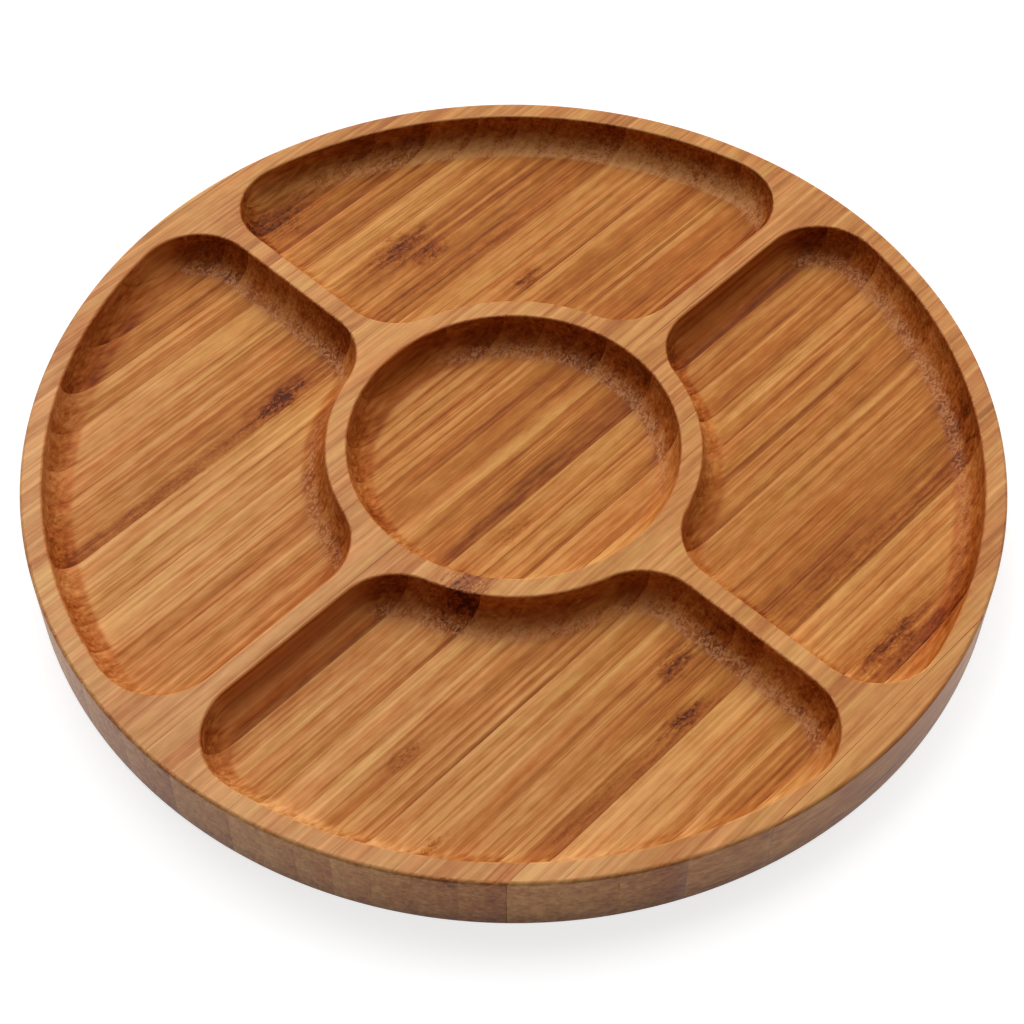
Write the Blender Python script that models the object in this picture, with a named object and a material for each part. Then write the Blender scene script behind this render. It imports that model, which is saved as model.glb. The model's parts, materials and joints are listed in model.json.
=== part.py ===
"""Round bamboo serving platter: a centre bowl and four pockets, routed into a blank of edge-glued staves.

Metres, +Z up. The flat underside lies on z = 0 and its middle is the origin. The pockets face +X, +Y, -X
and -Y, and the four spokes between them lie on the diagonals. The staves run along the diagonal from the
near left to the far right, side by side, and each one is cut to its own shape by the disc's edge, the
bowl and the pockets that it meets.
"""
from math import atan2, ceil, cos, pi, radians, sin, sqrt

import bmesh
import bpy
from mathutils import Vector

# Platter
PLATTER_DIAMETER = 0.300
PLATTER_THICKNESS = 0.024
EDGE_ROUND = 0.0012  # radius that eases the outer top and bottom edges

# Walls left between the recesses
RIM_WIDTH = 0.0068  # between the pockets and the platter's edge
RING_WIDTH = 0.0069  # round the bowl
SPOKE_WIDTH = 0.0070  # between two pockets

# Recesses
BOWL_RADIUS = 0.0511
BOWL_DEPTH = 0.0115
POCKET_DEPTH = 0.0115
OUTER_CORNER_RADIUS = 0.020  # where a spoke meets the rim
INNER_CORNER_RADIUS = 0.020  # where a spoke meets the ring
COVE_RADIUS = 0.0095  # between wall and floor, as the cutter's nose leaves it
MOUTH_ROUND = 0.0008  # radius that eases the recesses' top edges
LEAST_STRAIGHT = 0.0005  # upright wall above the cove, and corner round the floor, that always stay

# Staves
STAVE_PITCH = 0.010  # one stave and its glue line
GLUE_LINE = 0.0003  # gap that stands for the glue between two staves
SEAM_OFFSET = 0.0024  # how far the glue line nearest the middle lies from it
STAVE_ANGLE = radians(45)  # parallel to two of the spokes

# Working values
OVERRUN = 0.002  # how far a cutting shape passes the surface that it cuts
LEAST_SLIVER = 0.0005  # an outermost stave with less than this left of it is sanded away
SMOOTH_ANGLE = radians(35)  # facets that meet at less than this are shaded as one curved face
POCKETS = 4
FACETS = {
    "disc": 120,
    "bowl": 64,
    "rim_side": 16,
    "ring_side": 8,
    "corner": 8,
    "cove": 5,
    "ease": 2,
}

# Oiled, heat-browned bamboo. Each colour is linear red, green and blue.
TONES = {
    "pale": (0.60, 0.29, 0.105),
    "honey": (0.52, 0.235, 0.078),
    "amber": (0.46, 0.195, 0.058),
    "russet": (0.38, 0.145, 0.045),
    "umber": (0.31, 0.112, 0.036),
}
# Tones of neighbouring staves, from the near right edge to the far left one, as the boards happened to lie
TONE_ORDER = (
    "honey", "amber", "umber", "honey", "pale", "russet", "amber", "amber",
    "honey", "amber", "honey", "honey", "amber", "honey", "umber", "amber",
    "russet", "honey", "amber", "honey", "honey", "pale", "russet", "amber",
    "honey", "pale", "amber", "russet", "umber", "amber", "honey",
)
BAMBOO_ROUGHNESS = 0.5

PLATTER_RADIUS = PLATTER_DIAMETER / 2
RIM_INNER_RADIUS = PLATTER_RADIUS - RIM_WIDTH
RING_OUTER_RADIUS = BOWL_RADIUS + RING_WIDTH
HALF_SPOKE = SPOKE_WIDTH / 2


def clear_scene():
    """Removes the objects that a new file starts with."""
    for obj in list(bpy.data.objects):
        bpy.data.objects.remove(obj, do_unlink=True)


def link(obj):
    bpy.context.scene.collection.objects.link(obj)
    return obj


def guide(obj):
    """Marks a shape that only cuts others."""
    obj.display_type = "WIRE"
    obj.hide_render = True
    return obj


def object_from(mesh, name):
    """A linked object with the mesh that was built, its curved faces shaded smooth."""
    data = bpy.data.meshes.new(name)
    mesh.to_mesh(data)
    mesh.free()
    data.shade_smooth()
    data.set_sharp_from_angle(angle=SMOOTH_ANGLE)
    return link(bpy.data.objects.new(name, data))


def cut(obj, tool, operation):
    """Adds a live Boolean to an object."""
    modifier = obj.modifiers.new(tool.name, "BOOLEAN")
    modifier.operation = operation
    modifier.solver = "EXACT"
    modifier.object = tool


def arc(centre, radius, start, end, steps):
    """Points along an arc about a centre, both ends included."""
    angles = [start + (end - start) * i / steps for i in range(steps + 1)]
    return [centre + radius * Vector((cos(a), sin(a))) for a in angles]


def fillet_centre(distance, radius):
    """Centre of a corner arc that touches the upper side of the spoke at -45 degrees to the pocket's middle.

    The centre lies at the given distance from the platter's middle, and a radius off the spoke's side.
    """
    off_spoke = HALF_SPOKE + radius
    along_spoke = sqrt(distance ** 2 - off_spoke ** 2)
    spoke = -pi / POCKETS
    return along_spoke * Vector((cos(spoke), sin(spoke))) + off_spoke * Vector((-sin(spoke), cos(spoke)))


def pocket_outline(inset):
    """Outline of the pocket that faces +X, drawn in from its mouth by an inset, anticlockwise.

    The rim, the ring and the two spokes bound it, and an arc rounds each corner.
    """
    middle = Vector((0, 0))
    outer = fillet_centre(RIM_INNER_RADIUS - OUTER_CORNER_RADIUS, OUTER_CORNER_RADIUS)
    inner = fillet_centre(RING_OUTER_RADIUS + INNER_CORNER_RADIUS, INNER_CORNER_RADIUS)
    to_rim = atan2(outer.y, outer.x)
    to_ring = atan2(-inner.y, -inner.x)
    to_spoke = -pi / POCKETS - pi / 2
    rounded = FACETS["corner"]
    lower = (
        arc(middle, RING_OUTER_RADIUS + inset, 0, atan2(inner.y, inner.x), FACETS["ring_side"] // 2)
        + arc(inner, INNER_CORNER_RADIUS - inset, to_ring, to_spoke + 2 * pi, rounded)[1:]
        + arc(outer, OUTER_CORNER_RADIUS - inset, to_spoke, to_rim, rounded)
        + arc(middle, RIM_INNER_RADIUS - inset, to_rim, 0, FACETS["rim_side"] // 2)[1:]
    )
    upper = [Vector((p.x, -p.y)) for p in reversed(lower[1:-1])]
    return lower + upper


def bowl_outline(inset):
    """Outline of the round bowl, drawn in from its mouth by an inset."""
    return arc(Vector((0, 0)), BOWL_RADIUS - inset, 0, 2 * pi, FACETS["bowl"])[:-1]


def cove_radius(depth):
    """Radius of the cove, limited by the wall above it and by the corners that it runs round."""
    wall = depth - MOUTH_ROUND
    return min(COVE_RADIUS, min(wall, OUTER_CORNER_RADIUS, INNER_CORNER_RADIUS) - LEAST_STRAIGHT)


def recess_profile(depth):
    """Inset and height from above the platter down to the edge of the floor: eased mouth, wall and cove."""
    top = PLATTER_THICKNESS
    floor = top - depth
    cove = cove_radius(depth)
    points = [(-MOUTH_ROUND, top + OVERRUN)]
    for i in range(FACETS["ease"] + 1):
        a = pi / 2 * (1 - i / FACETS["ease"])
        points.append((MOUTH_ROUND * (cos(a) - 1), top - MOUTH_ROUND * (1 - sin(a))))
    for i in range(FACETS["cove"] + 1):
        a = pi / 2 * i / FACETS["cove"]
        points.append((cove * (1 - cos(a)), floor + cove * (1 - sin(a))))
    return points


def recess_cutter(name, outline, depth, turn=0.0):
    """Closed solid of the space that the router clears: rings of the outline, one for each profile point."""
    mesh = bmesh.new()
    rings = []
    for inset, height in recess_profile(depth):
        rings.append([mesh.verts.new((p.x, p.y, height)) for p in outline(inset)])
    for above, below in zip(rings, rings[1:]):
        for i in range(len(above)):
            j = (i + 1) % len(above)
            mesh.faces.new((above[i], below[i], below[j], above[j]))
    mesh.faces.new(rings[0])
    mesh.faces.new(reversed(rings[-1]))
    bmesh.ops.recalc_face_normals(mesh, faces=mesh.faces)
    cutter = guide(object_from(mesh, name))
    cutter.rotation_euler.z = turn
    return cutter


def turned_disc():
    """The disc that the blank is turned to, with both outer edges eased."""
    mesh = bmesh.new()
    bmesh.ops.create_cone(
        mesh, cap_ends=True, segments=FACETS["disc"],
        radius1=PLATTER_RADIUS, radius2=PLATTER_RADIUS, depth=PLATTER_THICKNESS,
    )
    bmesh.ops.translate(mesh, verts=mesh.verts, vec=(0, 0, PLATTER_THICKNESS / 2))
    corners = [e for e in mesh.edges if abs(e.verts[0].co.z - e.verts[1].co.z) < EDGE_ROUND]
    bmesh.ops.bevel(
        mesh, geom=corners, offset=EDGE_ROUND, offset_type="OFFSET", segments=FACETS["ease"],
        profile=0.5, affect="EDGES", clamp_overlap=True,
    )
    return guide(object_from(mesh, "turned_disc"))


def routed_disc():
    """The whole platter as one guide shape: the disc less the bowl and the four pockets."""
    disc = turned_disc()
    cut(disc, recess_cutter("bowl_cutter", bowl_outline, BOWL_DEPTH), "DIFFERENCE")
    for i in range(POCKETS):
        cutter = recess_cutter(f"pocket_cutter_{i + 1}", pocket_outline, POCKET_DEPTH, 2 * pi * i / POCKETS)
        cut(disc, cutter, "DIFFERENCE")
    return disc


def bamboo(name, tone):
    """Satin, oiled bamboo of one tone."""
    material = bpy.data.materials.new(name)
    material.use_nodes = True
    shader = material.node_tree.nodes["Principled BSDF"]
    shader.inputs["Base Color"].default_value = (*TONES[tone], 1)
    shader.inputs["Roughness"].default_value = BAMBOO_ROUGHNESS
    shader.inputs["Metallic"].default_value = 0
    material.diffuse_color = (*TONES[tone], 1)
    return material


def stave_blank():
    """A planed stave before it is cut to shape, along X, longer and taller than the platter."""
    mesh = bmesh.new()
    bmesh.ops.create_cube(mesh, size=1)
    size = Vector((PLATTER_DIAMETER + 2 * OVERRUN, STAVE_PITCH - GLUE_LINE, PLATTER_THICKNESS + 2 * OVERRUN))
    bmesh.ops.scale(mesh, verts=mesh.verts, vec=size)
    data = bpy.data.meshes.new("stave_blank")
    mesh.to_mesh(data)
    mesh.free()
    return data


def stave_centres():
    """Distance of each stave's middle line from the platter's middle, from the near right to the far left."""
    most = ceil((PLATTER_RADIUS + SEAM_OFFSET) / STAVE_PITCH) + 1
    reach = PLATTER_RADIUS + (STAVE_PITCH - GLUE_LINE) / 2 - LEAST_SLIVER
    centres = [STAVE_PITCH * (i + 1 / 2) - SEAM_OFFSET for i in range(-most, most)]
    return [centre for centre in centres if abs(centre) < reach]


def glue_up(routed):
    """One object for each stave, laid side by side and cut to the routed disc."""
    platter = link(bpy.data.objects.new("platter", None))
    across = Vector((-sin(STAVE_ANGLE), cos(STAVE_ANGLE), 0))
    blank = stave_blank()
    for i, centre in enumerate(stave_centres()):
        name = f"stave_{i + 1:02d}"
        stave = link(bpy.data.objects.new(name, blank.copy()))
        stave.parent = platter
        stave.location = centre * across + Vector((0, 0, PLATTER_THICKNESS / 2))
        stave.rotation_euler.z = STAVE_ANGLE
        stave.data.materials.append(bamboo(f"{name}_bamboo", TONE_ORDER[i % len(TONE_ORDER)]))
        cut(stave, routed, "INTERSECT")


def main():
    clear_scene()
    glue_up(routed_disc())


main()
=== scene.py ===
"""Dresses the sectioned bamboo serving platter: smooth routed staves, a bamboo finish and a plain studio.

Metres, +Z up, with the platter's underside on z = 0. The blank is turned, the bowl and the four pockets are
routed, and the platter is then parted along its glue lines, so that each stave is a piece of its own.
"""
import json
from math import atan2, cos, pi, radians, sin, sqrt

import bmesh
import bpy
from mathutils import Matrix, Vector

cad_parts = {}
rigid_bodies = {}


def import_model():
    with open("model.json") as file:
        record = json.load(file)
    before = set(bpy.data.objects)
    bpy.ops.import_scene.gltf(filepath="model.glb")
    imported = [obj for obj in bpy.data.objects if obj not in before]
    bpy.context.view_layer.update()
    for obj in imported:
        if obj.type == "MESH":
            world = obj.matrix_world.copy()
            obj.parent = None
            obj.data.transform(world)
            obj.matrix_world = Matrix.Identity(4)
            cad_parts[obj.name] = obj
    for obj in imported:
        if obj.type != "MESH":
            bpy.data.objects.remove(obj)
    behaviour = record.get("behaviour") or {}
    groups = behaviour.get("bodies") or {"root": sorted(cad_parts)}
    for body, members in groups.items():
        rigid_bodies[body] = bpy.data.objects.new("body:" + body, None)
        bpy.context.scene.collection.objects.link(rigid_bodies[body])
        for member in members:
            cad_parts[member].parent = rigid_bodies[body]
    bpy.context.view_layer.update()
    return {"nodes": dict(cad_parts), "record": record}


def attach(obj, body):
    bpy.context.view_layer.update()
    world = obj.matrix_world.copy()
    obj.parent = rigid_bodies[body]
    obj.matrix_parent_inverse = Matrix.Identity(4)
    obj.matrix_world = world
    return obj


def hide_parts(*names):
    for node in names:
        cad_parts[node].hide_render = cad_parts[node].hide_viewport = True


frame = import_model()

bl_info = {
    "name": "Sectioned Bamboo Platter",
    "version": (1, 0, 0),
    "blender": (4, 5, 0),
    "location": "View3D > Sidebar > Platter",
    "description": "Models a routed bamboo platter stave by stave and sets it in a plain studio",
    "category": "Object",
}

STAVE_NODES = sorted(name for name in frame["nodes"] if name.startswith("stave_"))
SLOTS = {line["node"]: line["material_slot"] for line in frame["record"]["subparts"]}
POCKETS = 4
STAVE_ANGLE = pi / 4  # the way that the staves run
ALONG = Vector((cos(STAVE_ANGLE), sin(STAVE_ANGLE), 0))
ACROSS = Vector((-sin(STAVE_ANGLE), cos(STAVE_ANGLE), 0))
OVERRUN = 0.002  # how far a cutting shape stands above the platter
SEED_SIZE = 0.001  # side of the plane that is merged to an outline's first point
SAME_PLACE = 1e-6  # points that are closer than this are one
SMOOTH_ANGLE = radians(35)  # facets that meet at less than this are shaded as one curved face
# Facets of each curve: the disc and its eased edge, the bowl, a pocket's outline, and the mouth and cove of both
FACETS = {
    "disc": 360, "edge": 5, "bowl": 192, "rim": 24, "outer": 20, "inner": 16, "ring": 20, "ease": 6, "cove": 20,
}

# Place of each tone between the darkest and the palest bamboo
LEVELS = {
    "bamboo_pale": 0.76,
    "bamboo_honey": 0.66,
    "bamboo_amber": 0.61,
    "bamboo_russet": 0.53,
    "bamboo_umber": 0.46,
}
TONE_STOPS = (0.0, 0.30, 0.58, 1.05)  # the tones of the deep, dark, middle and pale colours

# What each feature of the bamboo adds to the tone at its strongest
SHARES = {
    "stave": 0.06,
    "soaked": 0.30,  # walls and coves drink more oil on some staves than on others
    "strands": 0.215,
    "fine": 0.150,
    "flecks": 0.105,
    "broad": 0.08,
    "blotches": 0.05,
    "threads": -0.12,
    "torn": -0.03,
    "turned_side": -0.02,
    "curls": 0.13,
    "curly_marks": 0.22,
    "marks": -0.55,
    # painted light, with pale fuzz, on the coves by the far rim
    "far_cove_fuzz_and_light": 0.20,
    # painted light on the pockets' coves that run along the fibres and face the near right
    "near_cove": 0.22,
    # painted sheen on the fuzzy coves, speckled by the curls
    "curly_fuzz_and_sheen": 0.14,
    "glue": -0.06,
}
STAVE_SLOPES = (0.04, 0.26)  # tone that a stave gains from one side to the other, at least and at most
LIGHT_FALLOFF = (0.10, -0.065)  # painted light: tone that the blank gains towards its near left and loses towards its far right
SANDED_TONE = 0.70  # the tone that sanding brings the staves nearer to
SANDED_EVENNESS = 0.40  # how far it brings them there
SANDED_LIFT = 0.11  # how much it pales them besides
SANDED_BLUR = 0.20  # how much fainter it leaves the fibres
TURNED_CALM = 0.45  # how much fainter the curls are on the turned side
MARK_CURL = 2.0  # how much curlier the middle of a mark is than cut ends

# Noises of the cane: cells a metre along and across the fibres, detail, roughness and distortion
NOISES = {
    "ragged": (200, 460, 2.0, 0.6, 0.0),
    "waver": (16, 60, 1.0, 0.5, 0.0),
    "ripple": (130, 140, 1.0, 0.5, 0.0),
    "broad": (5, 120, 1.0, 0.5, 0.0),
    "strands": (5, 380, 2.0, 0.8, 0.0),
    "fine": (14, 900, 1.0, 0.5, 0.0),
    "flecks": (120, 420, 2.0, 0.65, 0.0),
    "blotches": (60, 110, 2.0, 0.6, 0.0),
    "curls": (420, 620, 2.0, 0.6, 1.6),
    "pores": (14, 800, 1.0, 0.5, 0.0),
    "hue": (20, 190, 2.0, 0.6, 0.0),
    "broken": (45, 60, 1.0, 0.5, 0.0),
}
BUNDLES = (14, 800)  # dark fibre bundles a metre, along and across
LOOSE_THREADS = 0.2  # strength of the bundles on the side of a stave where they are sparse
STAVE_SEED = 3.7  # picks each stave's chances
CANE_OFFSETS = (3.0, 0.4, 0.4)  # each stave's cane lies up to this far from the others', in metres
WAVER = 0.0003  # how far the fibres swing to the side over a long way, in metres
RIPPLE = 0.00006  # and over a short way
KNOT_RIPPLE = 0.0010  # and by the darkest knots

# Each mask goes from nothing at the first value to its full strength at the second
RANGES = {
    # How squarely a surface faces a way
    "off_level": (0.998, 0.95),
    "off_floor": (0.999, 0.98),
    "off_plumb": (0.0, 0.5),
    "end_grain": (0.10, 0.80),
    "fuzz_and_sheen_side": (0.05, 0.28),
    "near_side": (0.15, 0.60),
    "far_side": (0.40, 0.85),
    # How far a wall cuts across the fibres
    "crossed": (0.10, 0.45),
    "uncrossed": (0.50, 0.15),
    # Metres towards the far rim, from the middle, or along the staves
    "far_rim": (0.085, 0.115),
    "pockets": (0.053, 0.062),
    "floor_glow": (0.4, 1.6),
    # painted light: lighter towards the near left, darker towards the far right
    "light_falloff": (-0.11, 0.11),
    # painted reflection: a bluish white veil at the near left end
    "painted_veil": (-0.01, -0.09),
    # Distance from a seam, as a share of a stave, from a bundle's middle, in cells, and from a mark's middle
    "glue": (0.035, 0.008),
    "bundle": (0.45, 0.10),
    "knot_core": (1.5, 0.3),
    "knot_halo": (2.6, 0.8),
    # Values of a noise
    "broken": (-0.6, 0.8),
    "fuzz_and_sheen_amount": (-0.3, 0.6),
}
EDGE_BAND = 0.0012  # the turned side begins this far inside the edge
SANDED_DEPTHS = (0.0009, 0.0001)  # sanding begins and is full this far below the top face
NO_LEAN = 0.0002  # keeps the lean of a level face above 0
PLUMB_SHARE = 0.35  # how much of a recess's tint a plumb wall takes
FUZZ_SHEEN_TOPS = (0.64, 0.30)  # how level a cove is where its fuzz and painted sheen end, by and large and by the far rim
FULL_FUZZ_SHEEN = 0.90  # how level it is where the fuzz and painted sheen are full
FUZZ_SHEEN_SIDE = (-0.53, -0.85, 0)  # the coves that face this way keep a pale fuzz, with a painted sheen of the lamps on it
FUZZ_SHEEN_AMOUNTS = (0.1, 0.85)  # between the tufts and on them
SHADE_ON_LIT_WALLS = 0.15  # painted shade that is left on a wall that faces the far rim and the lamps

# Tints of the bamboo, a painted shade and a painted reflection, and the colour of the fuzz with its painted
# sheen
REDDISH = (1.03, 0.91, 0.86, 1)
GREENISH = (0.97, 1.05, 0.95, 1)
# painted reflection: the whitish veil of the lamps on the near left end
PAINTED_VEIL = (1.0, 1.03, 1.24, 1)
# painted shade: the darker, redder colour of walls and coves turned from the lamps
SHADE_TINT = (0.88, 0.68, 0.56, 1)
# pale fuzz of torn fibres, with a painted sheen of the lamps
FUZZ_SHEEN_COLOUR = (0.64, 0.300, 0.130, 1)
MARK_REDNESS = 0.5

# What the strands, the sanding and the oil add to or take from the roughness
STRAND_ROUGHNESS = 0.03
SANDED_SMOOTHNESS = 0.10
OIL_SMOOTHNESS = 0.1
OIL_IOR = 1.3
TURNED_OIL = 1.3  # how much more oil shines on the turned side than on the sanded faces
PORE_HEIGHT = 0.30  # share of the relief that the pores take
CURL_HEIGHT = 0.5  # and the curls of cut ends

# Marks in the cane. Place along and across the staves from the middle, half length, half width and darkness
KNOTS = (
    (-0.0320, 0.0708, 0.0085, 0.0028, 1.00),
    (-0.0720, 0.0700, 0.0560, 0.0026, 0.28),
    (-0.0330, -0.0990, 0.0065, 0.0022, 0.80),
    (-0.0550, -0.1000, 0.0450, 0.0026, 0.20),
    (0.0480, -0.0985, 0.0450, 0.0034, 0.20),
    (-0.0210, -0.0845, 0.0060, 0.0026, 0.70),
    (-0.0970, -0.0500, 0.0060, 0.0020, 0.45),
    (-0.0180, -0.0180, 0.0070, 0.0024, 0.30),
    (-0.0120, -0.0098, 0.0330, 0.0017, 0.13),
    (-0.0490, -0.0270, 0.0075, 0.0052, 0.85),
    (-0.0435, -0.0190, 0.0035, 0.0030, 0.50),
    (-0.1130, -0.0755, 0.0050, 0.0016, 0.60),
    (0.0290, -0.1256, 0.0130, 0.0032, 0.58),
    (0.0360, -0.1300, 0.0150, 0.0042, 0.32),
    (0.0400, 0.0910, 0.0100, 0.0050, 0.62),
    (0.0455, 0.0830, 0.0060, 0.0034, 0.66),
    (0.0180, 0.1290, 0.0120, 0.0050, 0.48),
    (0.0590, 0.0510, 0.0050, 0.0024, 0.50),
    (0.0500, 0.0720, 0.0420, 0.0026, 0.16),
)
KNOT_LABELS = ("Along", "Across", "Half Length", "Half Width", "Strength")
KNOT_FRAY = 0.50  # how ragged a mark's outline is
KNOT_CORE = 0.70  # darkness of its core, and of the halo round it
KNOT_HALO = 0.28

FLOOR_SIZE = 6
FLOOR_GAP = 0.0002  # keeps the floor off the underside, which would share its plane
SEEN_SHARE = 0.45  # share of the floor's lightness left to rays that see its glow
NEAR_GLOW = 0.78  # glow of the floor by the platter, where the lamps light it too
LAMP_DISTANCE = 4.0
# Each lamp's width and height in metres, and its azimuth and elevation in degrees
LAMPS = {
    "key": (2.4, 2.4, 118, 62),
    "back": (3.4, 2.2, 108, 36),
    "side": (2.4, 2.1, 48, 48),
}

# The photograph's camera: metres, degrees, millimetres of lens and shares of the frame
CAMERA_PLACE = (-0.01033, -0.41228, 0.54203)
CAMERA_HEADING = -1.435
CAMERA_DIP = 53.371  # below the horizon
CAMERA_ROLL = 0.292
CAMERA_LENS = 76.02
CAMERA_SHIFT = (-0.0014, 0.0005)
CAMERA_NEAREST = 0.01


class PlatterSizes(bpy.types.PropertyGroup):
    """Sizes of the turned and routed platter."""

    diameter: bpy.props.FloatProperty(
        name="Diameter", description="Across the finished platter", default=0.300, unit="LENGTH")
    thickness: bpy.props.FloatProperty(
        name="Thickness", description="From the underside to the top face", default=0.024, unit="LENGTH")
    edge_round: bpy.props.FloatProperty(
        name="Edge round", description="Radius that eases the outer edges", default=0.0012, unit="LENGTH")
    rim_width: bpy.props.FloatProperty(
        name="Rim", description="Wall between the pockets and the edge", default=0.0068, unit="LENGTH")
    ring_width: bpy.props.FloatProperty(
        name="Ring", description="Wall round the bowl", default=0.0069, unit="LENGTH")
    spoke_width: bpy.props.FloatProperty(
        name="Spokes", description="Walls between two pockets", default=0.0070, unit="LENGTH")
    bowl_radius: bpy.props.FloatProperty(
        name="Bowl radius", description="Radius of the bowl's wall", default=0.0511, unit="LENGTH")
    depth: bpy.props.FloatProperty(
        name="Depth", description="From the top face to the floors", default=0.0115, unit="LENGTH")
    corner_radius: bpy.props.FloatProperty(
        name="Corner radius", description="Radius of the pockets' corners", default=0.020, unit="LENGTH")
    cove_radius: bpy.props.FloatProperty(
        name="Cove radius", description="Radius between wall and floor", default=0.0095, unit="LENGTH")
    mouth_round: bpy.props.FloatProperty(
        name="Mouth round", description="Radius that eases the recesses' top edges", default=0.0008,
        unit="LENGTH")
    glue_seam: bpy.props.FloatProperty(
        name="Glue seam", description="Gap that shows as the glue line", default=0.00004, unit="LENGTH",
        precision=5)


class BambooFinish(bpy.types.PropertyGroup):
    """Colours and texture of the oiled bamboo."""

    deep: bpy.props.FloatVectorProperty(
        name="Deep", description="Burnt knots and the darkest fibres", subtype="COLOR", size=3,
        default=(0.075, 0.014, 0.003), min=0, max=1)
    dark: bpy.props.FloatVectorProperty(
        name="Dark", description="Dense fibres near the outside of the cane", subtype="COLOR", size=3,
        default=(0.280, 0.068, 0.009), min=0, max=1)
    middle: bpy.props.FloatVectorProperty(
        name="Middle", description="Ordinary bamboo", subtype="COLOR", size=3,
        default=(0.480, 0.162, 0.030), min=0, max=1)
    pale: bpy.props.FloatVectorProperty(
        name="Pale", description="Soft bamboo near the inside of the cane", subtype="COLOR", size=3,
        default=(0.80, 0.395, 0.120), min=0, max=1)
    roughness: bpy.props.FloatProperty(
        name="Roughness", description="Of the routed wood", default=0.46, min=0, max=1, subtype="FACTOR")
    gloss: bpy.props.FloatProperty(
        name="Gloss", description="Specular level of the wood under the oil", default=0.06, min=0, max=1,
        subtype="FACTOR")
    oil: bpy.props.FloatProperty(
        name="Oil", description="Coat of oil on the sanded top faces and the turned side", default=0.36,
        min=0, max=1, subtype="FACTOR")
    relief: bpy.props.FloatProperty(
        name="Relief", description="Depth of the open grain", default=0.00008, unit="LENGTH", precision=5)


class StudioSettings(bpy.types.PropertyGroup):
    """Lamps, floor and camera."""

    key_light: bpy.props.FloatProperty(
        name="Key light", description="Wide lamp above and slightly to the back left, in watts", default=86.0,
        min=0)
    back_light: bpy.props.FloatProperty(
        name="Back light", description="Low, wide lamp at the back left, in watts", default=46.0,
        min=0)
    side_light: bpy.props.FloatProperty(
        name="Side light", description="Lamp at the back right, in watts", default=62.0,
        min=0)
    sky: bpy.props.FloatProperty(
        name="Sky", description="Even light from all round", default=0.02, min=0)
    floor_tone: bpy.props.FloatProperty(
        name="Floor", description="Lightness of the floor", default=0.92, min=0, max=1, subtype="FACTOR")


def deselect_all():
    if bpy.context.mode != "OBJECT":
        bpy.ops.object.mode_set(mode="OBJECT")
    bpy.ops.object.select_all(action="DESELECT")


def make_active(obj):
    """Selects one object alone."""
    deselect_all()
    obj.select_set(True)
    bpy.context.view_layer.objects.active = obj


def open_mesh(obj, select="VERT"):
    """Opens one object's mesh with everything in it selected."""
    make_active(obj)
    bpy.ops.object.mode_set(mode="EDIT")
    bpy.ops.mesh.select_mode(type=select)
    bpy.ops.mesh.select_all(action="SELECT")


def close_mesh():
    bpy.ops.object.mode_set(mode="OBJECT")


def apply_modifier(obj, kind, **settings):
    """Adds a modifier to the object and applies it."""
    make_active(obj)
    modifier = obj.modifiers.new(kind.lower(), kind)
    for key, value in settings.items():
        setattr(modifier, key, value)
    bpy.ops.object.modifier_apply(modifier=modifier.name)


def apply_place(obj):
    """Puts an object's place into its mesh."""
    make_active(obj)
    bpy.ops.object.transform_apply(location=True, rotation=True, scale=True)


def turn_blank(sizes):
    """The disc that the glued blank is turned to, with both outer edges eased."""
    bpy.ops.mesh.primitive_cylinder_add(
        vertices=FACETS["disc"], radius=sizes.diameter / 2, depth=sizes.thickness,
        location=(0, 0, sizes.thickness / 2), end_fill_type="NGON")
    blank = bpy.context.active_object
    blank.name = "platter_blank"
    apply_place(blank)
    open_mesh(blank, "EDGE")
    mesh = bmesh.from_edit_mesh(blank.data)
    for edge in mesh.edges:
        edge.select_set(abs(edge.verts[0].co.z - edge.verts[1].co.z) < sizes.thickness / 2)
    bmesh.update_edit_mesh(blank.data)
    bpy.ops.mesh.bevel(
        offset=sizes.edge_round, segments=FACETS["edge"], profile=0.5, affect="EDGES", clamp_overlap=True)
    close_mesh()
    return blank


def recess_steps(sizes):
    """Steps inwards and down from the cutter's rim to the floor: eased mouth, wall and cove."""
    ease, cove = FACETS["ease"], FACETS["cove"]
    lip, radius = sizes.mouth_round, sizes.cove_radius
    points = []
    for i in range(ease + 1):
        a = pi / 2 * (1 - i / ease)
        points.append((lip * (cos(a) - 1), lip * (1 - sin(a))))
    for i in range(cove + 1):
        a = pi / 2 * i / cove
        points.append((radius * (1 - cos(a)), sizes.depth - radius * (1 - sin(a))))
    return [(b[0] - a[0], b[1] - a[1]) for a, b in zip(points, points[1:])]


def sink_recess(sizes):
    """Takes the selected face, which looks up, down to the floor of a recess, step by step."""
    bpy.ops.mesh.extrude_region_move(TRANSFORM_OT_translate={"value": (0, 0, -OVERRUN)})
    for inwards, deeper in recess_steps(sizes):
        if inwards < SAME_PLACE:
            bpy.ops.mesh.extrude_region_move(TRANSFORM_OT_translate={"value": (0, 0, -deeper)})
        else:
            bpy.ops.mesh.inset(thickness=inwards, depth=-deeper)
    bpy.ops.mesh.select_all(action="SELECT")
    bpy.ops.mesh.normals_make_consistent(inside=False)


def bowl_cutter(sizes):
    """The space that the router clears for the round bowl."""
    bpy.ops.mesh.primitive_circle_add(
        vertices=FACETS["bowl"], radius=sizes.bowl_radius + sizes.mouth_round, fill_type="NGON",
        location=(0, 0, sizes.thickness + OVERRUN))
    cutter = bpy.context.active_object
    cutter.name = "bowl_cutter"
    apply_place(cutter)
    open_mesh(cutter, "FACE")
    sink_recess(sizes)
    close_mesh()
    return cutter


def corner_centre(distance, sizes):
    """Centre of a corner arc, at a distance from the middle, that touches the spoke at -45 degrees."""
    off_spoke = sizes.spoke_width / 2 + sizes.corner_radius
    along_spoke = sqrt(distance ** 2 - off_spoke ** 2)
    spoke = -pi / POCKETS
    return along_spoke * Vector((cos(spoke), sin(spoke))) + off_spoke * Vector((-sin(spoke), cos(spoke)))


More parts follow.
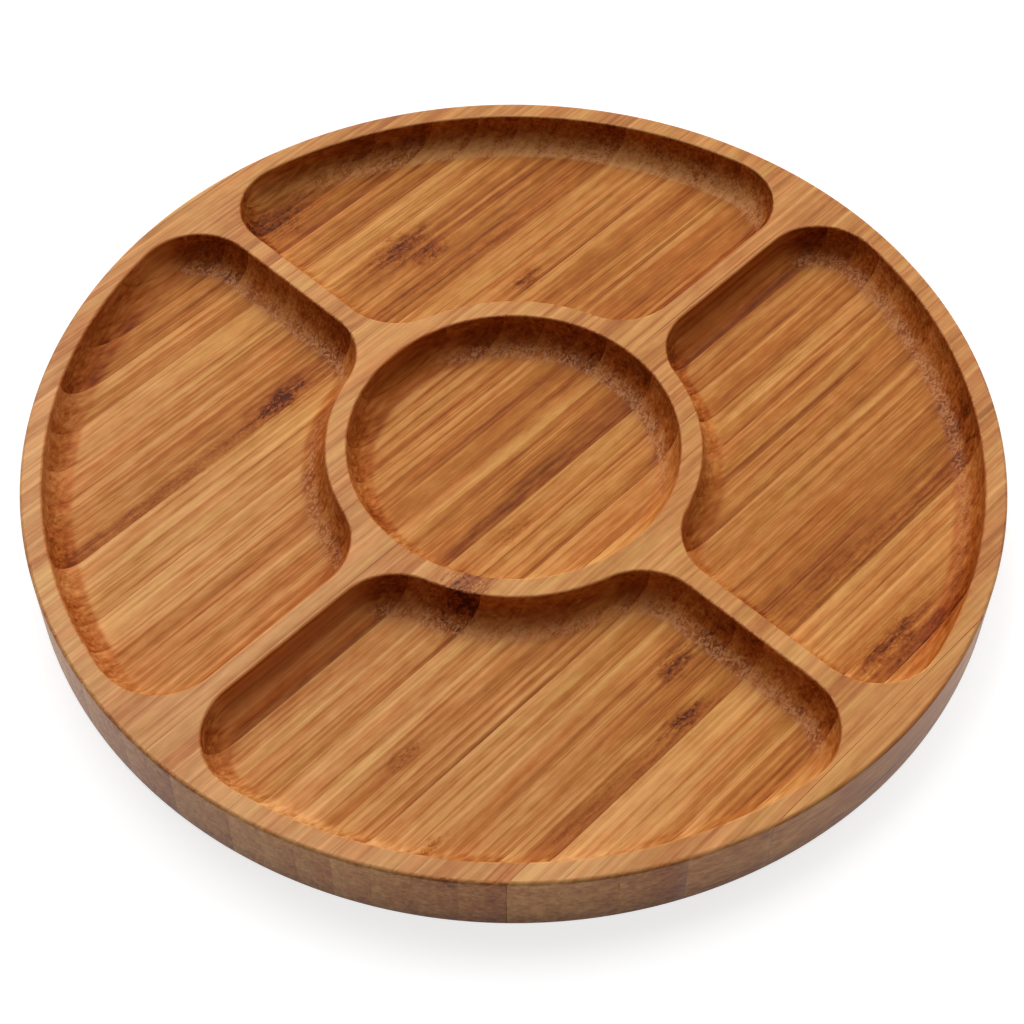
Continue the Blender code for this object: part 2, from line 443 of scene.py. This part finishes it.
def pocket_cutter(sizes):
    """The space that the router clears for the four pockets.

    One pocket's outline is drawn clockwise from the middle of its rim, by arcs spun from one vertex and by
    straights along the spokes. It is sunk to the floor, and then copied round the bowl.
    """
    rim = sizes.diameter / 2 - sizes.rim_width
    ring = sizes.bowl_radius + sizes.ring_width
    height = sizes.thickness + OVERRUN
    outer = corner_centre(rim - sizes.corner_radius, sizes)
    inner = corner_centre(ring + sizes.corner_radius, sizes)
    to_rim = -atan2(outer.y, outer.x)
    to_ring = -atan2(inner.y, inner.x)
    spoke_side = pi / POCKETS + pi / 2
    middle = Vector((0, 0))
    flip = Vector((1, -1))
    straight = inner - outer
    turns = (
        (middle, to_rim, "rim"),
        (outer, spoke_side - to_rim, "outer"),
        straight,
        (inner, to_ring + pi - spoke_side, "inner"),
        (middle, -2 * to_ring, "ring"),
        (inner * flip, to_ring + pi - spoke_side, "inner"),
        -straight * flip,
        (outer * flip, spoke_side - to_rim, "outer"),
        (middle, to_rim, "rim"),
    )
    bpy.ops.mesh.primitive_plane_add(size=SEED_SIZE, location=(rim + sizes.mouth_round, 0, height))
    cutter = bpy.context.active_object
    cutter.name = "pocket_cutter"
    apply_place(cutter)
    open_mesh(cutter)
    bpy.ops.mesh.merge(type="CENTER")
    for turn in turns:
        if isinstance(turn, Vector):
            bpy.ops.mesh.extrude_vertices_move(TRANSFORM_OT_translate={"value": (turn.x, turn.y, 0)})
        else:
            centre, angle, facets = turn
            bpy.ops.mesh.spin(
                steps=FACETS[facets], angle=angle, center=(centre.x, centre.y, height), axis=(0, 0, 1))
    bpy.ops.mesh.select_all(action="SELECT")
    bpy.ops.mesh.remove_doubles(threshold=SAME_PLACE)
    bpy.ops.mesh.edge_face_add()
    mesh = bmesh.from_edit_mesh(cutter.data)
    mesh.faces.ensure_lookup_table()
    if len(mesh.faces) != 1:
        raise RuntimeError("the pocket's outline didn't close")
    if mesh.faces[0].normal.z < 0:
        bpy.ops.mesh.flip_normals()
    bpy.ops.mesh.select_mode(type="FACE")
    bpy.ops.mesh.select_all(action="SELECT")
    sink_recess(sizes)
    bpy.ops.mesh.spin(
        steps=POCKETS - 1, angle=2 * pi * (1 - 1 / POCKETS), dupli=True, center=(0, 0, 0), axis=(0, 0, 1))
    close_mesh()
    return cutter


def rout(blank, cutter):
    """Cuts one shape from the blank, for good, and clears the cutter away."""
    apply_modifier(blank, "BOOLEAN", operation="DIFFERENCE", solver="EXACT", object=cutter)
    bpy.data.objects.remove(cutter, do_unlink=True)


def glue_lines():
    """Distance of each glue line from the middle, across the staves, halfway between two CAD staves."""
    spans = []
    for name in STAVE_NODES:
        places = [vertex.co.dot(ACROSS) for vertex in frame["nodes"][name].data.vertices]
        spans.append((min(places), max(places)))
    return [(near[1] + far[0]) / 2 for near, far in zip(spans, spans[1:])]


def part_stave(blank, name, low, high):
    """A copy of the blank, parted at a low and a high plane across the staves. None is the platter's edge."""
    make_active(blank)
    bpy.ops.object.duplicate()
    stave = bpy.context.active_object
    stave.name = stave.data.name = name
    open_mesh(stave)
    if low is not None:
        bpy.ops.mesh.bisect(plane_co=low * ACROSS, plane_no=ACROSS, use_fill=True, clear_inner=True)
        bpy.ops.mesh.select_all(action="SELECT")
    if high is not None:
        bpy.ops.mesh.bisect(plane_co=high * ACROSS, plane_no=ACROSS, use_fill=True, clear_outer=True)
    close_mesh()
    return stave


def shade(obj):
    """Shades curved faces smooth and keeps flat faces flat."""
    make_active(obj)
    bpy.ops.object.shade_smooth_by_angle(angle=SMOOTH_ANGLE)
    apply_modifier(obj, "WEIGHTED_NORMAL", keep_sharp=True)


def add_node(tree, kind, **settings):
    node = tree.nodes.new("ShaderNode" + kind)
    for key, value in settings.items():
        setattr(node, key, value)
    return node


def feed(tree, socket, value):
    """Links a socket, or writes a plain value into it."""
    if isinstance(value, bpy.types.NodeSocket):
        tree.links.new(value, socket)
    else:
        socket.default_value = value


def calc(tree, operation, *values, clamp=False):
    node = add_node(tree, "Math", operation=operation, use_clamp=clamp)
    for socket, value in zip(node.inputs, values):
        feed(tree, socket, value)
    return node.outputs[0]


def product(tree, first, *others):
    """Multiplies numbers in turn."""
    for other in others:
        first = calc(tree, "MULTIPLY", first, other)
    return first


def ramp(tree, value, low, high, start=0.0, end=1.0, smooth=True):
    """Takes a value from one range to another, held at both ends."""
    node = add_node(tree, "MapRange", clamp=True, interpolation_type="SMOOTHSTEP" if smooth else "LINEAR")
    for socket, got in zip(node.inputs, (value, low, high, start, end)):
        feed(tree, socket, got)
    return node.outputs[0]


def rise(tree, value, kind, start=0.0, end=1.0):
    """Goes from the start to the end over one of the named ranges."""
    return ramp(tree, value, *RANGES[kind], start, end)


def blend(tree, amount, first, second, kind="MIX"):
    """Mixes two colours."""
    node = add_node(tree, "Mix", data_type="RGBA", blend_type=kind, clamp_factor=True)
    feed(tree, node.inputs["Factor"], amount)
    feed(tree, node.inputs[6], first)
    feed(tree, node.inputs[7], second)
    return node.outputs[2]


def axes(tree, vector):
    """The three parts of a vector."""
    node = add_node(tree, "SeparateXYZ")
    feed(tree, node.inputs[0], vector)
    return node.outputs


def length_of(tree, vector):
    node = add_node(tree, "VectorMath", operation="LENGTH")
    feed(tree, node.inputs[0], vector)
    return node.outputs["Value"]


def facing_way(tree, facing, way):
    """How squarely a surface faces one way: 1 squarely, 0 sideways and -1 turned away."""
    node = add_node(tree, "VectorMath", operation="DOT_PRODUCT")
    feed(tree, node.inputs[0], facing)
    node.inputs[1].default_value = way
    return node.outputs["Value"]


def in_cells(tree, place, along, across):
    """A place counted in cells, so many a metre along the fibres and so many across them."""
    node = add_node(tree, "VectorMath", operation="MULTIPLY")
    feed(tree, node.inputs[0], place)
    node.inputs[1].default_value = (along, across, across)
    return node.outputs[0]


def noise(tree, place, kind):
    """One of the cane's noises, from about -1 to 1."""
    along, across, detail, roughness, distortion = NOISES[kind]
    node = add_node(tree, "TexNoise", noise_dimensions="3D", normalize=True)
    feed(tree, node.inputs["Vector"], in_cells(tree, place, along, across))
    node.inputs["Scale"].default_value = 1
    node.inputs["Detail"].default_value = detail
    node.inputs["Roughness"].default_value = roughness
    node.inputs["Distortion"].default_value = distortion
    return calc(tree, "MULTIPLY_ADD", node.outputs[0], 4.0, -2.0)


def new_group(name, inputs, outputs):
    """An empty node group with its sockets, its input node's sockets by name, and its output node."""
    tree = bpy.data.node_groups.new(name, "ShaderNodeTree")
    for label, kind in inputs:
        tree.interface.new_socket(label, in_out="INPUT", socket_type="NodeSocket" + kind)
    for label, kind in outputs:
        tree.interface.new_socket(label, in_out="OUTPUT", socket_type="NodeSocket" + kind)
    source = tree.nodes.new("NodeGroupInput")
    return tree, source.outputs, tree.nodes.new("NodeGroupOutput")


def knot_group():
    """A soft, frayed mark that lies along the fibres: a dark core in a fainter halo."""
    tree, given, sink = new_group(
        "cane_mark",
        (("Place", "Vector"), ("Ragged", "Float"), *((label, "Float") for label in KNOT_LABELS)),
        (("Mask", "Float"),))
    place = axes(tree, given["Place"])
    along = calc(tree, "DIVIDE", calc(tree, "SUBTRACT", place[0], given["Along"]), given["Half Length"])
    across = calc(tree, "DIVIDE", calc(tree, "SUBTRACT", place[1], given["Across"]), given["Half Width"])
    reach = calc(tree, "ADD", product(tree, along, along), product(tree, across, across))
    frayed = calc(tree, "MULTIPLY_ADD", given["Ragged"], KNOT_FRAY, calc(tree, "SQRT", reach))
    core = product(tree, rise(tree, frayed, "knot_core"), KNOT_CORE)
    mask = calc(tree, "MULTIPLY_ADD", rise(tree, frayed, "knot_halo"), KNOT_HALO, core)
    feed(tree, sink.inputs[0], product(tree, mask, given["Strength"]))
    return tree


def cane_marks(tree, place):
    """All the knots and dark runs together."""
    ragged = noise(tree, place, "ragged")
    knot = knot_group()
    marks = 0.0
    for values in KNOTS:
        mark = add_node(tree, "Group", node_tree=knot)
        feed(tree, mark.inputs["Place"], place)
        feed(tree, mark.inputs["Ragged"], ragged)
        for label, value in zip(KNOT_LABELS, values):
            mark.inputs[label].default_value = value
        marks = calc(tree, "MAXIMUM", marks, mark.outputs[0])
    return marks


def stave_layout(tree, side, seams):
    """How far across its stave a point lies, from 0 to 1, and a colour of chances that is the stave's own."""
    pitch = (seams[-1] - seams[0]) / (len(seams) - 1)
    share = calc(tree, "DIVIDE", calc(tree, "SUBTRACT", side, seams[0] - pitch), pitch)
    dice = add_node(tree, "TexWhiteNoise", noise_dimensions="1D")
    feed(tree, dice.inputs["W"], calc(tree, "ADD", calc(tree, "FLOOR", share), STAVE_SEED))
    return calc(tree, "FRACT", share), dice.outputs["Color"]


def fibre_places(tree, place, dice, marks):
    """A point's place in its own cane, first straight, and then as the fibres waver, more so by a knot."""
    offset = add_node(tree, "VectorMath", operation="MULTIPLY_ADD")
    feed(tree, offset.inputs[0], dice)
    offset.inputs[1].default_value = CANE_OFFSETS
    feed(tree, offset.inputs[2], place)
    cane = offset.outputs[0]
    swing = calc(tree, "MULTIPLY_ADD", marks, KNOT_RIPPLE, RIPPLE)
    bend = product(tree, noise(tree, cane, "waver"), WAVER)
    bend = calc(tree, "MULTIPLY_ADD", noise(tree, cane, "ripple"), swing, bend)
    shift = add_node(tree, "CombineXYZ")
    feed(tree, shift.inputs[1], bend)
    feed(tree, shift.inputs[2], bend)
    moved = add_node(tree, "VectorMath", operation="ADD")
    feed(tree, moved.inputs[0], cane)
    feed(tree, moved.inputs[1], shift.outputs[0])
    return cane, moved.outputs[0]


def surface_masks(tree, given, height):
    """Which part of the platter a point is on, how it cuts the fibres, and where painted shade, light and sheen
    go, as masks from 0 to 1.
    """
    facing = axes(tree, given["Facing"])
    up = facing[2]
    # The level part of the way that the surface faces, by which two other parts are divided
    lean = calc(tree, "SQRT", calc(tree, "SUBTRACT", 1 + NO_LEAN, product(tree, up, up)))
    to_end = calc(tree, "ABSOLUTE", facing_way(tree, given["Facing"], ALONG))
    crossed = calc(tree, "DIVIDE", to_end, lean)
    end_grain = rise(tree, to_end, "end_grain")

    out = length_of(tree, given["Place"])
    turned_side = ramp(tree, out, calc(tree, "SUBTRACT", given["Edge"], EDGE_BAND), given["Edge"])
    inside = calc(tree, "SUBTRACT", 1.0, turned_side)
    far_rim = rise(tree, axes(tree, given["Place"])[1], "far_rim")
    sanded = ramp(tree, height, *(calc(tree, "SUBTRACT", given["Top"], depth) for depth in SANDED_DEPTHS))

    # Walls and coves, a plumb wall least
    steep = product(tree, rise(tree, up, "off_level"), rise(tree, up, "off_plumb", PLUMB_SHARE))
    # Pale fuzz with a painted sheen stays on the lower part of a cove that cuts the fibres, and reaches higher
    # by the far rim
    fuzz_sheen_top = ramp(tree, far_rim, 0, 1, *FUZZ_SHEEN_TOPS)
    cove = product(tree, ramp(tree, up, fuzz_sheen_top, FULL_FUZZ_SHEEN), rise(tree, up, "off_floor"))
    fuzz_and_sheen_side = rise(tree, facing_way(tree, given["Facing"], FUZZ_SHEEN_SIDE), "fuzz_and_sheen_side")
    fuzz_and_sheen = product(tree, cove, fuzz_and_sheen_side, rise(tree, crossed, "crossed"))
    # Painted light on the pockets' coves that run along the fibres and face the near right, away from the lamps
    near_side = rise(tree, facing_way(tree, given["Facing"], -ACROSS), "near_side")
    lit_along_fibres = product(tree, near_side, rise(tree, crossed, "uncrossed"))
    in_pockets = product(tree, rise(tree, out, "pockets"), inside)
    # Painted shade darkens and reddens the walls and the coves, except by the far rim and where they face away
    # from the camera, towards the lamps
    far_side = rise(tree, calc(tree, "DIVIDE", facing[1], lean), "far_side", 1.0, SHADE_ON_LIT_WALLS)
    painted_shade = product(tree, steep, inside, calc(tree, "SUBTRACT", 1.0, far_rim), far_side)
    return {
        "end_grain": end_grain, "torn": product(tree, end_grain, inside), "steep": steep, "sanded": sanded,
        "turned_side": turned_side, "fuzz_and_sheen": fuzz_and_sheen, "far_cove_fuzz_and_light": product(tree, fuzz_and_sheen, far_rim),
        "near_cove": product(tree, lit_along_fibres, in_pockets), "painted_shade": painted_shade,
    }


def fibre_threads(tree, grain, crowd, lines):
    """Dark bundles of fibres: threads along the floors and dots on the walls that cut across them."""
    bundles = add_node(tree, "TexVoronoi", voronoi_dimensions="3D", feature="F1", distance="EUCLIDEAN")
    feed(tree, bundles.inputs["Vector"], in_cells(tree, grain, *BUNDLES))
    bundles.inputs["Scale"].default_value = 1
    core = rise(tree, bundles.outputs["Distance"], "bundle")
    return product(tree, core, ramp(tree, crowd, 0.0, 1.0, LOOSE_THREADS, 1.0), lines)


def glue_marks(tree, place, across, crowd):
    """Thin, broken glue lines."""
    near_seam = calc(tree, "MINIMUM", across, crowd)
    broken = rise(tree, noise(tree, place, "broken"), "broken")
    return product(tree, rise(tree, near_seam, "glue"), broken)


def add_features(tree, level, features):
    """Adds each feature to the tone, by its share."""
    for name, amount in features.items():
        level = calc(tree, "MULTIPLY_ADD", amount, SHARES[name], level)
    return level


def bamboo_group(seams):
    """Colour, roughness, oil coat and relief of bamboo staves that are laid side by side and cut through.

    The pattern is solid, so that it runs as lines along the floors and as dots and curls on walls that cut
    across the fibres.
    """
    tree, given, sink = new_group(
        "bamboo",
        (("Place", "Vector"), ("Facing", "Vector"), ("Level", "Float"), ("Top", "Float"), ("Edge", "Float"),
         ("Roughness", "Float"), ("Oil", "Float"),
         ("Deep", "Color"), ("Dark", "Color"), ("Middle", "Color"), ("Pale", "Color")),
        (("Color", "Color"), ("Roughness", "Float"), ("Coat", "Float"), ("Height", "Float")))
    turned = add_node(tree, "Mapping", vector_type="POINT")
    feed(tree, turned.inputs["Vector"], given["Place"])
    turned.inputs["Rotation"].default_value = (0, 0, -STAVE_ANGLE)
    blank = turned.outputs[0]
    place = axes(tree, blank)
    across, dice = stave_layout(tree, place[1], seams)
    crowd = calc(tree, "SUBTRACT", 1.0, across)
    chance = add_node(tree, "SeparateColor")
    feed(tree, chance.inputs[0], dice)
    chances = [calc(tree, "SUBTRACT", output, 0.5) for output in chance.outputs[1:]]
    marks = cane_marks(tree, blank)
    cane, grain = fibre_places(tree, blank, dice, marks)
    curls = noise(tree, cane, "curls")
    strands = noise(tree, grain, "strands")
    masks = surface_masks(tree, given, place[2])
    sanded, turned_side = masks["sanded"], masks["turned_side"]
    lines = calc(tree, "MULTIPLY_ADD", sanded, -SANDED_BLUR, 1.0)

    # The tone: each stave is darker towards one side, and painted light makes the blank lighter at its near left
    # end and darker at its far right end
    slope = ramp(tree, chance.outputs[0], 0, 1, *STAVE_SLOPES, smooth=False)
    level = calc(tree, "MULTIPLY_ADD", calc(tree, "SUBTRACT", across, 0.5), slope, given["Level"])
    soaked = product(tree, chances[1], masks["steep"])
    level = add_features(tree, level, {"stave": chances[0], "soaked": soaked})
    level = calc(tree, "ADD", level, rise(tree, place[0], "light_falloff", *LIGHT_FALLOFF))
    # Sanding evens the staves and pales them
    evened = product(tree, calc(tree, "SUBTRACT", SANDED_TONE, level), SANDED_EVENNESS)
    level = calc(tree, "MULTIPLY_ADD", calc(tree, "ADD", evened, SANDED_LIFT), sanded, level)
    streaks = add_features(tree, 0.0, {
        "strands": strands, "fine": noise(tree, grain, "fine"), "flecks": noise(tree, grain, "flecks")})
    level = calc(tree, "MULTIPLY_ADD", streaks, lines, level)
    # Cut ends and marks are curly, the turned side less so
    curly = product(tree, masks["end_grain"], calc(tree, "MULTIPLY_ADD", turned_side, -TURNED_CALM, 1.0))
    curly = calc(tree, "MAXIMUM", curly, product(tree, marks, MARK_CURL))
    level = add_features(tree, level, {
        "broad": noise(tree, grain, "broad"),
        "blotches": noise(tree, grain, "blotches"),
        "threads": fibre_threads(tree, grain, crowd, lines),
        "torn": masks["torn"],
        "turned_side": turned_side,
        "curls": product(tree, curls, curly),
        "curly_marks": product(tree, curls, marks),
        "marks": marks,
        # painted light on the coves by the far rim and on the pockets' near coves
        "far_cove_fuzz_and_light": masks["far_cove_fuzz_and_light"],
        "near_cove": masks["near_cove"],
        "curly_fuzz_and_sheen": product(tree, curls, masks["fuzz_and_sheen"]),
        "glue": glue_marks(tree, blank, across, crowd),
    })

    colours = given["Deep"]
    for label, low, high in zip(("Dark", "Middle", "Pale"), TONE_STOPS, TONE_STOPS[1:]):
        colours = blend(tree, ramp(tree, level, low, high, smooth=False), colours, given[label])
    # Some strands are redder and some greener, marks are redder, a painted reflection whitens the near left end
    # of the blank, painted shade darkens and reddens the walls and coves, and the coves keep a pale fuzz with a
    # painted sheen
    hue = noise(tree, grain, "hue")
    reddish = ramp(tree, hue, 0.0, 1.0, smooth=False)
    reddish = calc(tree, "MULTIPLY_ADD", marks, MARK_REDNESS, reddish, clamp=True)
    greenish = ramp(tree, hue, 0.0, -1.0, smooth=False)
    # Pale fuzz of torn fibres on the coves, with a painted sheen
    fuzz_and_sheen_amount = product(tree, masks["fuzz_and_sheen"], rise(tree, curls, "fuzz_and_sheen_amount", *FUZZ_SHEEN_AMOUNTS))
    for amount, tint in ((reddish, REDDISH), (greenish, GREENISH), (rise(tree, place[0], "painted_veil"), PAINTED_VEIL),
                         (masks["painted_shade"], SHADE_TINT)):
        colours = blend(tree, amount, colours, tint, "MULTIPLY")
    feed(tree, sink.inputs["Color"], blend(tree, fuzz_and_sheen_amount, colours, FUZZ_SHEEN_COLOUR))

    rough = calc(tree, "MULTIPLY_ADD", strands, STRAND_ROUGHNESS, given["Roughness"])
    feed(tree, sink.inputs["Roughness"], calc(tree, "MULTIPLY_ADD", sanded, -SANDED_SMOOTHNESS, rough))
    oiled = calc(tree, "MAXIMUM", sanded, product(tree, turned_side, TURNED_OIL))
    feed(tree, sink.inputs["Coat"], product(tree, oiled, given["Oil"]))
    height = calc(tree, "MULTIPLY_ADD", noise(tree, cane, "pores"), PORE_HEIGHT, 0.5)
    torn_height = product(tree, curls, masks["end_grain"])
    feed(tree, sink.inputs["Height"], calc(tree, "MULTIPLY_ADD", torn_height, CURL_HEIGHT, height))
    return tree


def bamboo_material(name, group, finish, sizes):
    """Oiled bamboo of one tone, from the shared group."""
    material = bpy.data.materials.new(name)
    material.use_nodes = True
    tree = material.node_tree
    shader = tree.nodes["Principled BSDF"]
    place = add_node(tree, "TexCoord")
    bamboo = add_node(tree, "Group", node_tree=group)
    feed(tree, bamboo.inputs["Place"], place.outputs["Object"])
    feed(tree, bamboo.inputs["Facing"], place.outputs["Normal"])
    bamboo.inputs["Level"].default_value = LEVELS[name]
    bamboo.inputs["Top"].default_value = sizes.thickness
    bamboo.inputs["Edge"].default_value = sizes.diameter / 2
    bamboo.inputs["Roughness"].default_value = finish.roughness
    bamboo.inputs["Oil"].default_value = finish.oil
    for label in ("Deep", "Dark", "Middle", "Pale"):
        bamboo.inputs[label].default_value = (*getattr(finish, label.lower()), 1)
    bump = add_node(tree, "Bump")
    bump.inputs["Distance"].default_value = finish.relief
    bump.inputs["Strength"].default_value = 1
    feed(tree, bump.inputs["Height"], bamboo.outputs["Height"])
    feed(tree, shader.inputs["Base Color"], bamboo.outputs["Color"])
    feed(tree, shader.inputs["Roughness"], bamboo.outputs["Roughness"])
    feed(tree, shader.inputs["Normal"], bump.outputs["Normal"])
    feed(tree, shader.inputs["Coat Weight"], bamboo.outputs["Coat"])
    shader.inputs["Specular IOR Level"].default_value = finish.gloss
    shader.inputs["Coat Roughness"].default_value = finish.roughness - OIL_SMOOTHNESS
    shader.inputs["Coat IOR"].default_value = OIL_IOR
    material.diffuse_color = (*finish.middle, 1)
    return material


class PLATTER_OT_rout(bpy.types.Operator):
    """Turn the blank and rout the bowl and the pockets"""

    bl_idname = "platter.rout"
    bl_label = "Turn and Rout the Platter"

    def execute(self, context):
        sizes = context.scene.platter_sizes
        deselect_all()
        blank = turn_blank(sizes)
        rout(blank, bowl_cutter(sizes))
        rout(blank, pocket_cutter(sizes))
        return {"FINISHED"}


class PLATTER_OT_part(bpy.types.Operator):
    """Part the routed platter along its glue lines into staves"""

    bl_idname = "platter.part_staves"
    bl_label = "Part the Staves"

    def execute(self, context):
        half_gap = context.scene.platter_sizes.glue_seam / 2
        blank = bpy.data.objects["platter_blank"]
        lines = glue_lines()
        lows = [None] + [line + half_gap for line in lines]
        highs = [line - half_gap for line in lines] + [None]
        for node, low, high in zip(STAVE_NODES, lows, highs):
            stave = part_stave(blank, node.replace("stave", "bamboo_stave"), low, high)
            shade(stave)
            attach(stave, "root")
            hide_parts(node)
        bpy.data.objects.remove(blank, do_unlink=True)
        return {"FINISHED"}


class PLATTER_OT_finish(bpy.types.Operator):
    """Give every stave its tone of oiled bamboo"""

    bl_idname = "platter.finish_bamboo"
    bl_label = "Finish the Bamboo"

    def execute(self, context):
        finish = context.scene.bamboo_finish
        group = bamboo_group(glue_lines())
        made = {}
        for node in STAVE_NODES:
            slot = SLOTS[node]
            if slot not in made:
                made[slot] = bamboo_material(slot, group, finish, context.scene.platter_sizes)
            stave = bpy.data.objects[node.replace("stave", "bamboo_stave")]
            stave.data.materials.clear()
            stave.data.materials.append(made[slot])
        return {"FINISHED"}


class PLATTER_OT_stage(bpy.types.Operator):
    """Set up the floor, the lamps and the camera"""

    bl_idname = "platter.set_stage"
    bl_label = "Set the Stage"

    def execute(self, context):
        studio = context.scene.studio_settings
        deselect_all()
        bpy.ops.mesh.primitive_plane_add(size=FLOOR_SIZE, location=(0, 0, -FLOOR_GAP))
        floor = context.active_object
        floor.name = "floor"
        floor.data.materials.append(floor_material(studio))
        light_world(context.scene, studio)
        for name, measures in LAMPS.items():
            soft_lamp(name + "_lamp", getattr(studio, name + "_light"), *measures)
        set_camera(context.scene)
        context.scene.view_settings.view_transform = "Standard"
        return {"FINISHED"}


def floor_material(studio):
    """Pale floor that glows a little, so that it looks white where nothing shades it.

    Only rays from the camera and from reflections see the glow, so that it puts no light on the platter.
    """
    material = bpy.data.materials.new("floor_paper")
    material.use_nodes = True
    tree = material.node_tree
    shader = tree.nodes["Principled BSDF"]
    tone = studio.floor_tone
    seen = seen_white(tree)
    grey = ramp(tree, seen, 0, 1, tone, tone * SEEN_SHARE, smooth=False)
    feed(tree, shader.inputs["Base Color"], blend(tree, grey, (0, 0, 0, 1), (1, 1, 1, 1)))
    shader.inputs["Roughness"].default_value = 1
    shader.inputs["Specular IOR Level"].default_value = 0
    shader.inputs["Emission Color"].default_value = (1, 1, 1, 1)
    place = add_node(tree, "TexCoord")
    glow = rise(tree, length_of(tree, place.outputs["Object"]), "floor_glow", NEAR_GLOW)
    feed(tree, shader.inputs["Emission Strength"], product(tree, seen, glow))
    return material


def seen_white(tree):
    """1 for the rays that should see a white background, and 0 for those that light the platter."""
    rays = add_node(tree, "LightPath")
    seen = calc(tree, "MAXIMUM", rays.outputs["Is Camera Ray"], rays.outputs["Is Glossy Ray"])
    return calc(tree, "MAXIMUM", seen, rays.outputs["Is Transmission Ray"])


def light_world(scene, studio):
    """Faint, even light from all round, white to the camera and in reflections."""
    world = bpy.data.worlds.new("studio")
    scene.world = world
    world.use_nodes = True
    tree = world.node_tree
    plain = tree.nodes["Background"]
    plain.inputs["Color"].default_value = (1, 1, 1, 1)
    strength = ramp(tree, seen_white(tree), 0, 1, studio.sky, 1.0, smooth=False)
    feed(tree, plain.inputs["Strength"], strength)


def soft_lamp(name, power, width, height, azimuth, elevation):
    """A large lamp that looks at the platter's middle. Azimuth, in degrees, runs anticlockwise from +X."""
    turn, rise = radians(azimuth), radians(elevation)
    place = LAMP_DISTANCE * Vector((cos(rise) * cos(turn), cos(rise) * sin(turn), sin(rise)))
    bpy.ops.object.light_add(type="AREA", location=place)
    lamp = bpy.context.active_object
    lamp.name = name
    lamp.data.shape = "RECTANGLE"
    lamp.data.size = width
    lamp.data.size_y = height
    lamp.data.energy = power
    lamp.rotation_euler = place.to_track_quat("Z", "Y").to_euler()
    return lamp


def set_camera(scene):
    """The camera at the photograph's viewing angle."""
    bpy.ops.object.camera_add()
    camera = bpy.context.active_object
    camera.name = "camera"
    turn = (Matrix.Rotation(radians(CAMERA_HEADING), 4, "Z") @ Matrix.Rotation(radians(90 - CAMERA_DIP), 4, "X")
            @ Matrix.Rotation(radians(CAMERA_ROLL), 4, "Z"))
    camera.matrix_world = Matrix.Translation(CAMERA_PLACE) @ turn
    camera.data.lens = CAMERA_LENS
    camera.data.shift_x, camera.data.shift_y = CAMERA_SHIFT
    camera.data.clip_start = CAMERA_NEAREST
    scene.camera = camera


class PLATTER_PT_panel(bpy.types.Panel):
    """The platter's sizes, finish and stage"""

    bl_idname = "PLATTER_PT_panel"
    bl_label = "Sectioned Platter"
    bl_space_type = "VIEW_3D"
    bl_region_type = "UI"
    bl_category = "Platter"

    def draw(self, context):
        groups = (context.scene.platter_sizes, context.scene.bamboo_finish, context.scene.studio_settings)
        steps = ((groups[0], (PLATTER_OT_rout, PLATTER_OT_part)), (groups[1], (PLATTER_OT_finish,)),
                 (groups[2], (PLATTER_OT_stage,)))
        for settings, operators in steps:
            box = self.layout.box()
            for key in settings.__annotations__:
                box.prop(settings, key)
            for operator in operators:
                box.operator(operator.bl_idname)


CLASSES = (
    PlatterSizes, BambooFinish, StudioSettings, PLATTER_OT_rout, PLATTER_OT_part, PLATTER_OT_finish,
    PLATTER_OT_stage, PLATTER_PT_panel,
)


def register():
    for cls in CLASSES:
        bpy.utils.register_class(cls)
    bpy.types.Scene.platter_sizes = bpy.props.PointerProperty(type=PlatterSizes)
    bpy.types.Scene.bamboo_finish = bpy.props.PointerProperty(type=BambooFinish)
    bpy.types.Scene.studio_settings = bpy.props.PointerProperty(type=StudioSettings)


def unregister():
    del bpy.types.Scene.platter_sizes
    del bpy.types.Scene.bamboo_finish
    del bpy.types.Scene.studio_settings
    for cls in reversed(CLASSES):
        bpy.utils.unregister_class(cls)


def main():
    register()
    bpy.ops.platter.rout()
    bpy.ops.platter.part_staves()
    bpy.ops.platter.finish_bamboo()
    bpy.ops.platter.set_stage()


if __name__ == "__main__":
    main()
